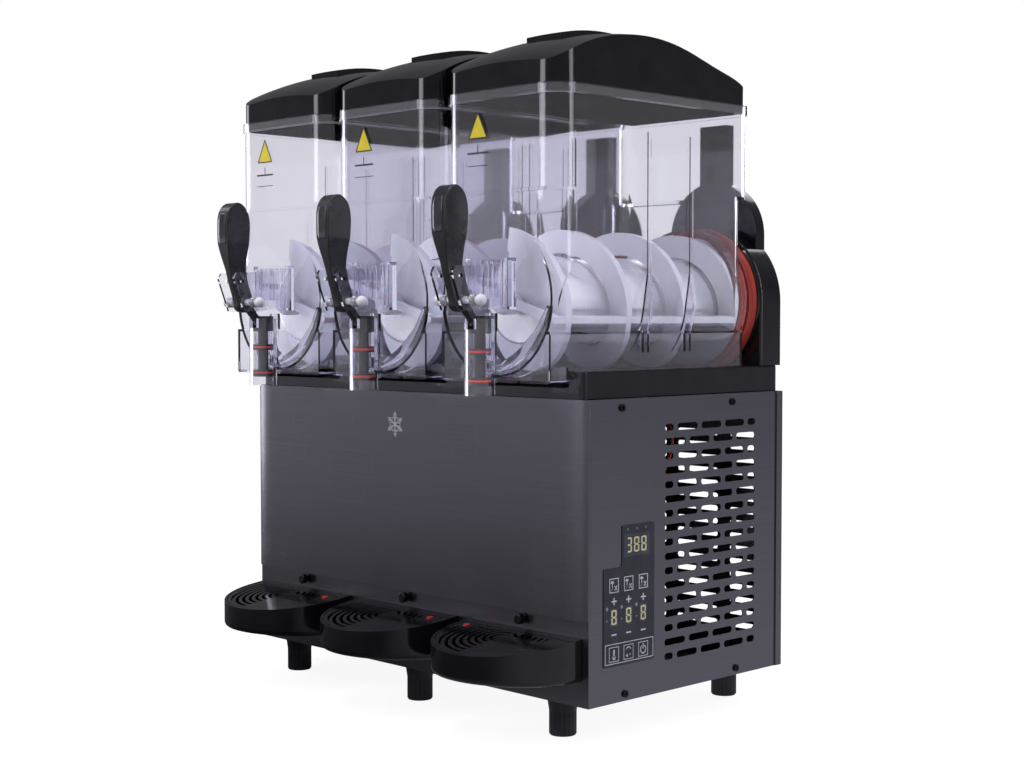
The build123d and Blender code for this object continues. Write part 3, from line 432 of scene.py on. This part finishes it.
def level_marks(bowl):
    """A plain pointer and a fill line on the front of a tank, left of its middle."""
    centre = BOWL_X[bowl] / MM - LABEL_LEFT_MM

    def on_tank(u, v, top):
        """A point of the tank's front face."""
        return bench(u, TANK_FACE_MM - 0.25 if top else TANK_FACE_MM + 0.1, v)

    def border(u, v, top):
        """A little further out, for the border and the line."""
        return on_tank(u, v, top) + Vector((0, -0.0001, 0))
    low, high, half = 664.0, 692.0, 14.5
    corners = [Vector((centre - half, low)), Vector((centre + half, low)), Vector((centre, high))]
    edges = [stroke(*corners[i], *corners[(i + 1) % 3], 1.5) for i in range(3)]
    fill = [[tuple(corner) for corner in corners]]
    line = [bar(centre - 17, 646.5, centre + 17, 648.5), bar(centre - 17, 633, centre + 17, 633.8),
            bar(centre - 0.5, 648.5, centre + 0.5, 657)]
    raised(f"{bowl}_level_fill", fill, on_tank, label_yellow, f"{bowl}_tank")
    raised(f"{bowl}_level_border", edges + line, border, label_black, f"{bowl}_tank")


for bowl in BOWLS:
    level_marks(bowl)


# ---- Grip insets: glossy panels let into the front of the tap handles ----------------------
INSET_HALF_MM = 7.6
INSET_LOW_MM = 556.0
INSET_HIGH_MM = 594.0
INSET_LAYERS = (-0.0005, 0.00035)
INSET_ROWS = 24
INSET_COLUMNS = 8


def inset_grid(made, surface, bowl, height):
    """Rows of points on the front of the handle, moved forward by height."""
    grid = []
    for row in range(INSET_ROWS + 1):
        z = INSET_LOW_MM + (INSET_HIGH_MM - INSET_LOW_MM) * row / INSET_ROWS
        end = min(row, INSET_ROWS - row) / INSET_ROWS
        width = INSET_HALF_MM * min(1.0, 0.75 + end * 2.5)
        line = []
        for column in range(INSET_COLUMNS + 1):
            across = width * (2 * column / INSET_COLUMNS - 1)
            start = bench(BOWL_X[bowl] / MM + across, -200, z)
            hit = surface.ray_cast(start, Vector((0, 1, 0)))[0]
            line.append(made.verts.new(hit - Vector((0, height, 0))))
        grid.append(line)
    return grid


def grip_inset(bowl):
    """A thin glossy panel that follows the front of the handle."""
    handle = nodes[f"{bowl}_tap_handle"].data
    surface = BVHTree.FromPolygons([v.co for v in handle.vertices],
                                   [tuple(p.vertices) for p in handle.polygons])
    made = bmesh.new()
    under, over = [inset_grid(made, surface, bowl, height) for height in INSET_LAYERS]
    rows, columns = INSET_ROWS, INSET_COLUMNS
    for row in range(rows):
        for column in range(columns):
            corner = [(row, column), (row, column + 1), (row + 1, column + 1), (row + 1, column)]
            made.faces.new([over[r][c] for r, c in corner])
            made.faces.new([under[r][c] for r, c in corner[::-1]])
    rim = [(0, c) for c in range(columns)] + [(r, columns) for r in range(rows)]
    rim += [(rows, c) for c in range(columns, 0, -1)] + [(r, 0) for r in range(rows, 0, -1)]
    for (r0, c0), (r1, c1) in zip(rim, rim[1:] + rim[:1]):
        made.faces.new((under[r0][c0], under[r1][c1], over[r1][c1], over[r0][c0]))
    bmesh.ops.recalc_face_normals(made, faces=made.faces)
    piece(f"{bowl}_grip_inset", made, inset_gloss, f"{bowl}_handle", smooth=True)


for bowl in BOWLS:
    grip_inset(bowl)


# ---- Clear deflector inside the front of each tank -----------------------------------------
AXIS_Z_MM = 485.0
BLADE_OUTER_MM = 82.4
BLADE_FRONT_MM = -40.6
BLADE_START = -100
BLADE_SWEEP = 95
BLADE_STEPS = 40


def deflector(bowl):
    """A clear crescent blade at the lower right of the tank's front wall."""
    centre = bench(BOWL_X[bowl] / MM, 0, AXIS_Z_MM)
    made = bmesh.new()
    rings = []
    for step in range(BLADE_STEPS + 1):
        part = step / BLADE_STEPS
        angle = math.radians(BLADE_START + BLADE_SWEEP * part)
        swell = math.sin(math.pi * part) ** 0.7
        inner = BLADE_OUTER_MM - 2.2 - 17 * swell
        back = BLADE_FRONT_MM + 1.2 + 5.0 * swell
        ring = []
        for radius, y in ((BLADE_OUTER_MM, BLADE_FRONT_MM), (BLADE_OUTER_MM, BLADE_FRONT_MM + 1.8),
                          (inner, back), (inner - 1.5, back - 1.4)):
            offset = Vector((radius * math.cos(angle) * MM, 0, radius * math.sin(angle) * MM))
            point = centre + offset
            point.y = FRONT_Y + y * MM
            ring.append(made.verts.new(point))
        rings.append(ring)
    for first, second in zip(rings, rings[1:]):
        for i in range(4):
            j = (i + 1) % 4
            made.faces.new((first[i], first[j], second[j], second[i]))
    made.faces.new(rings[0][::-1])
    made.faces.new(rings[-1])
    bmesh.ops.recalc_face_normals(made, faces=made.faces)
    piece(f"{bowl}_deflector", made, blade_clear, f"{bowl}_tank", smooth=True)


for bowl in BOWLS:
    deflector(bowl)


# ---- Loom wires behind the side vents -------------------------------------------------------
WIRE_COLOURS = {"red": (0.75, 0.03, 0.03), "yellow": (0.85, 0.6, 0.02), "blue": (0.04, 0.08, 0.55)}
WIRE_R_MM = 1.6


def loom():
    """Three clipped wires in place of the loom's plain tubes."""
    for number, (colour, tone) in enumerate(WIRE_COLOURS.items()):
        dark = tuple(0.75 * c for c in tone)
        sleeve = moulded(f"sleeve_{colour}", dark, tone, 0.25, 0.4)
        x = 282 - 6 * number
        y = 128 + 7 * number
        route = [(x, 70, 250 + 6 * number), (x, y, 262 + 9 * number), (x, y + 45, 330 - 5 * number),
                 (x - 30, y + 48, 354)]
        curve = bpy.data.curves.new(f"wire_{colour}", "CURVE")
        curve.dimensions = "3D"
        curve.bevel_depth = WIRE_R_MM * MM
        curve.bevel_resolution = 4
        curve.use_fill_caps = True
        spline = curve.splines.new("NURBS")
        spline.points.add(len(route) - 1)
        for point, spot in zip(spline.points, route):
            point.co = (*bench(*spot), 1.0)
        spline.order_u = 3
        spline.use_endpoint_u = True
        spline.resolution_u = 16
        curve.materials.append(sleeve)
        wire = bpy.data.objects.new(f"wire_{colour}", curve)
        bpy.context.scene.collection.objects.link(wire)
        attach(wire, "cabinet")
    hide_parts("wiring")


loom()


# ---- Stage: floor, world, lights and camera --------------------------------------------------
# Greys of the floor in reflections, by distance from the machine as a share of FLOOR_REACH.
FLOOR_REACH = 8.0
FLOOR_SIZE = 60
FLOOR_DROP = 0.0005
# Half the width of the strip where the front's greys turn into the rear's.
FLOOR_BLEND = 0.3
FRONT_FLOOR_GREYS = ((0.04, 0.03), (0.12, 0.09), (0.34, 0.34), (0.8, 0.5))
REAR_FLOOR_GREYS = ((0.05, 0.4), (0.2, 0.36), (0.8, 0.27))
# What the camera sees of the floor: mostly an even white, and a little that takes shadows.
FLOOR_GLOW = 0.915
FLOOR_MATT = (0.2, 0.2, 0.2)
# Greys of the studio above the horizon: for soft light, and for reflections from level to overhead.
SOFT_GREYS = ((0.0, 0.4), (0.9, 0.52))
GLOSSY_GREYS = ((0.0, 0.2), (0.25, 0.12), (1.0, 0.2))


def seen_directly(tree):
    """A factor of 1 for what the camera sees, straight or through clear plastic, else 0."""
    rays = tree.nodes.new("ShaderNodeLightPath")
    seen = tree.nodes.new("ShaderNodeMath")
    seen.operation = "MAXIMUM"
    tree.links.new(rays.outputs["Is Camera Ray"], seen.inputs[0])
    tree.links.new(rays.outputs["Is Transmission Ray"], seen.inputs[1])
    return seen.outputs["Value"]


def grey_ramp(tree, factor, stops):
    """Bluish greys along a factor, from (position, grey) pairs."""
    ramp = tree.nodes.new("ShaderNodeValToRGB")
    while len(ramp.color_ramp.elements) < len(stops):
        ramp.color_ramp.elements.new(0.5)
    for element, (position, grey) in zip(ramp.color_ramp.elements, stops):
        element.position = position
        element.color = (0.93 * grey, 0.92 * grey, 1.04 * grey, 1.0)
    tree.links.new(factor, ramp.inputs["Fac"])
    return ramp.outputs["Color"]


def mixed_colour(tree, factor, first, second):
    """A colour that goes from the first to the second as the factor goes from 0 to 1."""
    blend = tree.nodes.new("ShaderNodeMix")
    blend.data_type = "RGBA"
    tree.links.new(factor, blend.inputs[0])
    tree.links.new(first, blend.inputs[6])
    tree.links.new(second, blend.inputs[7])
    return blend.outputs[2]


def direct_or_reflected(tree, reflected, direct, output):
    """Show one shader to the camera and another to what only reflects or gathers light."""
    mix = tree.nodes.new("ShaderNodeMixShader")
    tree.links.new(seen_directly(tree), mix.inputs["Fac"])
    tree.links.new(reflected, mix.inputs[1])
    tree.links.new(direct, mix.inputs[2])
    tree.links.new(mix.outputs["Shader"], output.inputs["Surface"])


def reflected_floor(tree):
    """The floor's grey in reflections: by distance, and different in front and behind."""
    place = tree.nodes.new("ShaderNodeTexCoord").outputs["Object"]
    reach = tree.nodes.new("ShaderNodeVectorMath")
    reach.operation = "LENGTH"
    tree.links.new(place, reach.inputs[0])
    share = tree.nodes.new("ShaderNodeMath")
    share.operation = "DIVIDE"
    share.inputs[1].default_value = FLOOR_REACH
    tree.links.new(reach.outputs["Value"], share.inputs[0])
    split = tree.nodes.new("ShaderNodeSeparateXYZ")
    tree.links.new(place, split.inputs["Vector"])
    across = tree.nodes.new("ShaderNodeMath")
    tree.links.new(split.outputs["X"], across.inputs[0])
    tree.links.new(split.outputs["Y"], across.inputs[1])
    side = tree.nodes.new("ShaderNodeMapRange")
    side.inputs["From Min"].default_value = -FLOOR_BLEND
    side.inputs["From Max"].default_value = FLOOR_BLEND
    tree.links.new(across.outputs["Value"], side.inputs["Value"])
    greys = mixed_colour(tree, side.outputs["Result"],
                         grey_ramp(tree, share.outputs["Value"], FRONT_FLOOR_GREYS),
                         grey_ramp(tree, share.outputs["Value"], REAR_FLOOR_GREYS))
    glow = tree.nodes.new("ShaderNodeEmission")
    tree.links.new(greys, glow.inputs["Color"])
    return glow.outputs["Emission"]


def direct_floor(tree):
    """The floor that the camera sees: even white that still takes soft shadows."""
    matt = tree.nodes.new("ShaderNodeBsdfDiffuse")
    matt.inputs["Color"].default_value = (*FLOOR_MATT, 1.0)
    glow = tree.nodes.new("ShaderNodeEmission")
    glow.inputs["Strength"].default_value = FLOOR_GLOW
    both = tree.nodes.new("ShaderNodeAddShader")
    tree.links.new(matt.outputs["BSDF"], both.inputs[0])
    tree.links.new(glow.outputs["Emission"], both.inputs[1])
    return both.outputs["Shader"]


def stage_floor():
    """A plain pale floor with soft shadows; polished sheets reflect it darker near the machine."""
    made = bmesh.new()
    bmesh.ops.create_grid(made, x_segments=1, y_segments=1, size=FLOOR_SIZE)
    mesh = bpy.data.meshes.new("floor")
    made.to_mesh(mesh)
    made.free()
    pale = bpy.data.materials.new("floor_pale")
    pale.use_nodes = True
    tree = pale.node_tree
    tree.nodes.clear()
    output = tree.nodes.new("ShaderNodeOutputMaterial")
    direct_or_reflected(tree, reflected_floor(tree), direct_floor(tree), output)
    mesh.materials.append(pale)
    floor = bpy.data.objects.new("floor", mesh)
    floor.location.z = -FLOOR_DROP
    bpy.context.scene.collection.objects.link(floor)


def studio_world():
    """White behind the machine, and a dimmer bluish studio for what its surfaces reflect."""
    world = bpy.data.worlds.new("studio")
    world.use_nodes = True
    bpy.context.scene.world = world
    tree = world.node_tree
    tree.nodes.clear()
    backdrop = tree.nodes.new("ShaderNodeBackground")
    backdrop.inputs["Color"].default_value = (1.0, 1.0, 1.0, 1.0)
    rays = tree.nodes.new("ShaderNodeLightPath")
    split = tree.nodes.new("ShaderNodeSeparateXYZ")
    tree.links.new(tree.nodes.new("ShaderNodeTexCoord").outputs["Generated"], split.inputs["Vector"])
    tone = mixed_colour(tree, rays.outputs["Is Glossy Ray"],
                        grey_ramp(tree, split.outputs["Z"], SOFT_GREYS),
                        grey_ramp(tree, split.outputs["Z"], GLOSSY_GREYS))
    studio = tree.nodes.new("ShaderNodeBackground")
    tree.links.new(tone, studio.inputs["Color"])
    output = tree.nodes.new("ShaderNodeOutputWorld")
    direct_or_reflected(tree, studio.outputs["Background"], backdrop.outputs["Background"], output)


LIGHT_COLOUR = (0.94, 0.94, 1.0)
LIGHT_TARGET = Vector((0, 0, 0.4))


def soft_box(name, azimuth, height, distance, width, tall, power):
    """An area light at an azimuth round the machine (0 is in front), aimed at its middle."""
    light = bpy.data.lights.new(name, "AREA")
    light.shape = "RECTANGLE"
    light.size = width
    light.size_y = tall
    light.energy = power
    light.color = LIGHT_COLOUR
    box = bpy.data.objects.new(name, light)
    turn = math.radians(azimuth)
    box.location = (distance * math.sin(turn), -distance * math.cos(turn), height)
    aim = LIGHT_TARGET - box.location
    box.rotation_euler = aim.to_track_quat("-Z", "Y").to_euler()
    bpy.context.scene.collection.objects.link(box)


CAMERA_SPOT_MM = (1527.19, -1308.25, 465.34)
CAMERA_TILT = 87.71
CAMERA_TURN = 45.82
FOCAL_LENGTH = 58.55
SENSOR_WIDTH = 36.0


def camera():
    """The view: from the right and front, a little above half the machine's height."""
    lens = bpy.data.cameras.new("view")
    lens.sensor_width = SENSOR_WIDTH
    lens.lens = FOCAL_LENGTH
    viewer = bpy.data.objects.new("view", lens)
    viewer.location = bench(*CAMERA_SPOT_MM)
    viewer.rotation_euler = (math.radians(CAMERA_TILT), 0, math.radians(CAMERA_TURN))
    bpy.context.scene.collection.objects.link(viewer)
    bpy.context.scene.camera = viewer


stage_floor()
studio_world()
soft_box("front_box", -20, 1.5, 2.3, 1.0, 1.6, 20)
soft_box("side_box", 105, 1.2, 2.2, 0.7, 1.8, 12)
soft_box("top_box", 10, 2.6, 0.6, 1.8, 1.2, 22)
soft_box("left_strip", -75, 0.9, 2.0, 0.6, 1.6, 8)
soft_box("back_box", 190, 1.4, 2.4, 1.6, 1.6, 22)
camera()

scene = bpy.context.scene
scene.view_settings.view_transform = "Standard"
scene.cycles.use_denoising = True
scene.cycles.max_bounces = 28
scene.cycles.transmission_bounces = 28
scene.cycles.glossy_bounces = 8
scene.cycles.transparent_max_bounces = 48
